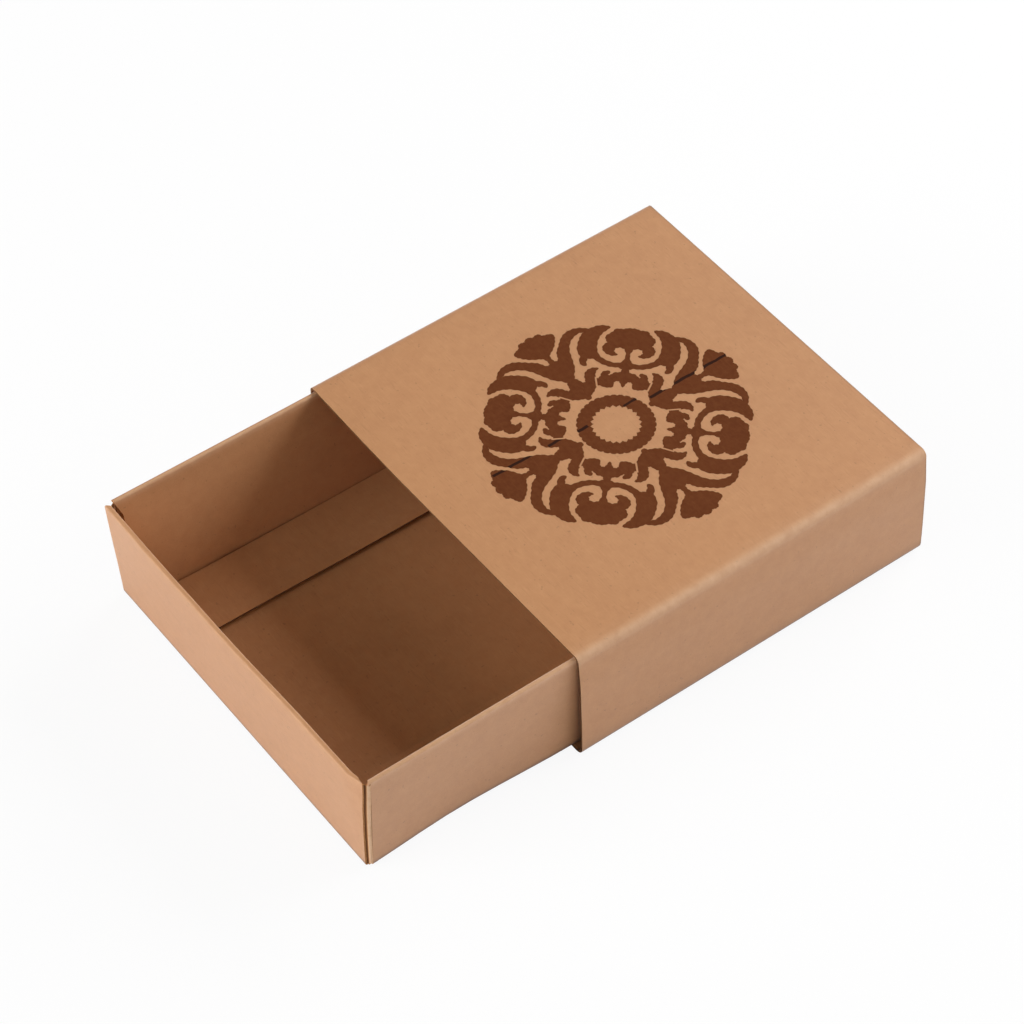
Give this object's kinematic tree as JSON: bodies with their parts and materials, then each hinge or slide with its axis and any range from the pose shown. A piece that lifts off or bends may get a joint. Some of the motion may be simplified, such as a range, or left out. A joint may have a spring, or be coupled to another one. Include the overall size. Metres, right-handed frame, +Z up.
{
  "type": "sliding drawer gift box",
  "caption": "Small square gift box of brown kraft board: a printed sleeve open at both ends, and a double-walled tray that slides in it like a drawer.",
  "frame": {"origin": "middle of the sleeve's underside", "axes": "+Z up; the tray is drawn out towards -Y; +X to the right as seen when facing the far end with the drawn tray in front"},
  "size_m": [0.1, 0.1514, 0.032],
  "materials": {
    "sleeve_board": "uncoated kraft board, matt",
    "tray_board": "uncoated kraft board, matt",
    "brown_ink": "dark brown ink soaked into kraft board, matt"
  },
  "bodies": {
    "sleeve": {"sleeve_top_panel": "sleeve_board", "sleeve_right_side": "sleeve_board", "sleeve_bottom_panel": "sleeve_board", "sleeve_left_side": "sleeve_board", "sleeve_glue_flap": "sleeve_board", "ornament_print": "brown_ink"},
    "tray": {"tray_floor": "tray_board", "tray_right_outer_wall": "tray_board", "tray_right_rim": "tray_board", "tray_right_inner_wall": "tray_board", "tray_left_outer_wall": "tray_board", "tray_left_rim": "tray_board", "tray_left_inner_wall": "tray_board", "tray_front_outer_wall": "tray_board", "tray_front_rim": "tray_board", "tray_front_inner_wall": "tray_board", "tray_back_outer_wall": "tray_board", "tray_back_rim": "tray_board", "tray_back_inner_wall": "tray_board", "front_right_corner_flap": "tray_board", "front_left_corner_flap": "tray_board", "back_right_corner_flap": "tray_board", "back_left_corner_flap": "tray_board"},
    "right_floor_flap": {"tray_right_floor_flap": "tray_board"},
    "left_floor_flap": {"tray_left_floor_flap": "tray_board"}
  },
  "joints": [
    {"name": "tray_slide", "type": "slide", "parent": "sleeve", "child": "tray", "axis": [0, -1, 0], "range_m": [-0.0544, 0.043]},
    {"name": "right_floor_flap_lift", "type": "hinge", "parent": "tray", "child": "right_floor_flap", "pos_m": [0.0454, -0.0544, 0.0018], "axis": [0, 1, 0], "range_deg": [0, 85]},
    {"name": "left_floor_flap_lift", "type": "hinge", "parent": "tray", "child": "left_floor_flap", "pos_m": [-0.0421, -0.0544, 0.0018], "axis": [0, -1, 0], "range_deg": [0, 85]}
  ]
}
